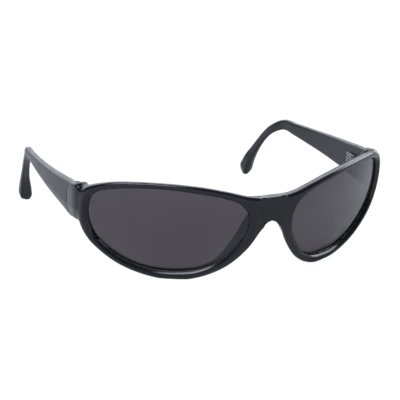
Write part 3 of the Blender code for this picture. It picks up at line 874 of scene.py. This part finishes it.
def plated_steel(name, roughness):
    """Nickel-plated steel with faint drawing marks."""
    made = uneven_finish(name, (900.0, 3.0, 0.0),
                         ((0.24, 0.24, 0.25), (0.36, 0.36, 0.38)),
                         (roughness - 0.06, roughness + 0.1))
    made.node_tree.nodes["Principled BSDF"].inputs["Metallic"].default_value = 1.0
    return made


def rounded_copy(node, name, width):
    """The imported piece's own shape with its sharp edges rounded over."""
    made = copy_of(node, name)
    made.data.materials.clear()
    weld = made.modifiers.new("weld", "WELD")
    weld.merge_threshold = SAME_PLACE
    edge = made.modifiers.new("rounded edges", "BEVEL")
    edge.width = width * MM
    edge.segments = 2
    edge.limit_method = "ANGLE"
    edge.angle_limit = math.radians(MOULDED_BELOW)
    edge.use_clamp_overlap = True
    apply_modifiers(made)
    shade(made.data, MOULDED_BELOW)
    return made


def driver_slot(low, high):
    """Saw cut for a flat driver, between two corners in metres."""
    build = bmesh.new()
    block(build, (Vector(low) + Vector(high)) / 2, Vector(high) - Vector(low))
    return as_object("driver slot", build)


def slotted_screw(node, name):
    """Turned screw with a driver slot across its head."""
    low, high = (Vector(corner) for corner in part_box(node.name))
    screw = rounded_copy(node, name, SCREW_ROUND)
    half = SLOT_WIDTH * MM / 2
    middle = (low + high) / 2
    deep = SLOT_DEPTH * MM
    if "pivot" in name:
        start = (low.x - MM, middle.y - half, high.z - deep)
        end = (high.x + MM, middle.y + half, high.z + MM)
    elif middle.x > 0:
        start = (low.x - MM, low.y - MM, middle.z - half)
        end = (low.x + deep, high.y + MM, middle.z + half)
    else:
        start = (high.x - deep, low.y - MM, middle.z - half)
        end = (high.x + MM, high.y + MM, middle.z + half)
    combine(screw, driver_slot(start, end), "DIFFERENCE")
    shade(screw.data, MOULDED_BELOW)
    return screw


leaf_steel = plated_steel("leaf_steel", 0.34)
screw_steel = plated_steel("screw_steel", 0.26)
for body, names in frame["record"]["behaviour"]["bodies"].items():
    for name in names:
        if "leaf" in name:
            metal = rounded_copy(frame["nodes"][name], name + "_stamping", LEAF_ROUND)
            metal.data.materials.append(leaf_steel)
        elif "screw" in name:
            metal = slotted_screw(frame["nodes"][name], name + "_slotted")
            metal.data.materials.append(screw_steel)
        else:
            continue
        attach(metal, body)
        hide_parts(name)


# ---- floor and lights ----
# The glasses stand on a plain white floor in a dim studio. A bright sweep behind them lights every
# edge that faces up, and one softbox high on each side draws the line along the ridges.

FLOOR_SIZE = 8.0
FLOOR_COLOUR = (0.6, 0.6, 0.61)
FLOOR_SHADE = 0.12          # how much of its own shade the white floor shows
PAPER_WHITE = 1.1           # brightness of the white that is seen
ROOM_LIGHT = 0.12
ROOM_COLOUR = (0.92, 0.95, 1.0)
SOFTBOX_COLOUR = (0.86, 0.91, 1.0)


def node_group(owner):
    """Clears the node tree of a material or a world; returns its nodes and its links."""
    owner.use_nodes = True
    owner.node_tree.nodes.clear()
    return owner.node_tree.nodes, owner.node_tree.links


def seen_white(nodes, links, shader, shown):
    """White where it is seen direct or through a lens, as far as shown; else the shader itself."""
    path = nodes.new("ShaderNodeLightPath")
    either = nodes.new("ShaderNodeMath")
    either.operation = "MAXIMUM"
    part = nodes.new("ShaderNodeMath")
    part.operation = "MULTIPLY"
    part.inputs[1].default_value = shown
    white = nodes.new("ShaderNodeEmission")
    white.inputs["Strength"].default_value = PAPER_WHITE
    mix = nodes.new("ShaderNodeMixShader")
    links.new(path.outputs["Is Camera Ray"], either.inputs[0])
    links.new(path.outputs["Is Transmission Ray"], either.inputs[1])
    links.new(either.outputs["Value"], part.inputs[0])
    links.new(part.outputs["Value"], mix.inputs["Fac"])
    links.new(shader.outputs[0], mix.inputs[1])
    links.new(white.outputs["Emission"], mix.inputs[2])
    return mix


def stage_floor():
    """White floor, far wider than the view."""
    bpy.ops.mesh.primitive_plane_add(size=FLOOR_SIZE)
    floor = bpy.context.object
    floor.name = "floor"
    made = bpy.data.materials.new("floor_white")
    nodes, links = node_group(made)
    matt = nodes.new("ShaderNodeBsdfDiffuse")
    matt.inputs["Color"].default_value = (*FLOOR_COLOUR, 1.0)
    out = nodes.new("ShaderNodeOutputMaterial")
    mix = seen_white(nodes, links, matt, 1.0 - FLOOR_SHADE)
    links.new(mix.outputs["Shader"], out.inputs["Surface"])
    floor.data.materials.append(made)


def studio_world():
    """Room around the floor, dim on the glasses and white to the eye."""
    world = bpy.data.worlds.new("studio")
    bpy.context.scene.world = world
    nodes, links = node_group(world)
    dim = nodes.new("ShaderNodeBackground")
    dim.inputs["Color"].default_value = (*ROOM_COLOUR, 1.0)
    dim.inputs["Strength"].default_value = ROOM_LIGHT
    out = nodes.new("ShaderNodeOutputWorld")
    mix = seen_white(nodes, links, dim, 1.0)
    links.new(mix.outputs["Shader"], out.inputs["Surface"])


def direction(azimuth, elevation):
    """Unit vector towards an azimuth from the front, -Y, to the wearer's left, and an elevation."""
    azimuth, elevation = math.radians(azimuth), math.radians(elevation)
    return Vector((math.sin(azimuth) * math.cos(elevation),
                   -math.cos(azimuth) * math.cos(elevation), math.sin(elevation)))


def softbox(name, azimuth, elevation, distance, size, glow):
    """Rectangular light that faces the glasses; glow is its brightness, with white paper as 1."""
    data = bpy.data.lights.new(name, "AREA")
    data.shape = "RECTANGLE"
    data.size, data.size_y = size
    data.energy = glow * math.pi * size[0] * size[1]
    data.color = SOFTBOX_COLOUR
    light = bpy.data.objects.new(name, data)
    bpy.context.scene.collection.objects.link(light)
    way = direction(azimuth, elevation)
    light.location = way * distance
    light.rotation_euler = way.to_track_quat("Z", "Y").to_euler()


stage_floor()
studio_world()
softbox("back_sweep", 170.0, 28.0, 1.5, (2.6, 1.2), 1.6)
softbox("front_left", -66.0, 46.0, 1.3, (0.9, 0.8), 7.0)
softbox("right", 106.0, 26.0, 1.3, (1.0, 0.8), 4.0)


# ---- camera ----
# A long lens looks down a little from the wearer's right, so that both rims and both temples show.
# It aims at a point between the lenses and the ears.

CAMERA_AZIMUTH = -23.18
CAMERA_ELEVATION = 17.49
CAMERA_ROLL = math.radians(0.435)
CAMERA_DISTANCE = 846.6
CAMERA_LENS = 178.43
CAMERA_SENSOR = 36.0
CAMERA_AIM = Vector((-5.61, -13.39, 18.95))

back = direction(CAMERA_AZIMUTH, CAMERA_ELEVATION)
level = direction(CAMERA_AZIMUTH + 90.0, 0.0)
turn = Matrix((level, back.cross(level), back)).transposed()
turn = turn @ Matrix.Rotation(CAMERA_ROLL, 3, "Z")
camera_data = bpy.data.cameras.new("camera")
camera_data.lens = CAMERA_LENS
camera_data.sensor_width = CAMERA_SENSOR
camera = bpy.data.objects.new("camera", camera_data)
bpy.context.scene.collection.objects.link(camera)
camera.matrix_world = Matrix.Translation((CAMERA_AIM + back * CAMERA_DISTANCE) * MM) @ turn.to_4x4()
bpy.context.scene.camera = camera
bpy.context.scene.view_settings.view_transform = "Standard"
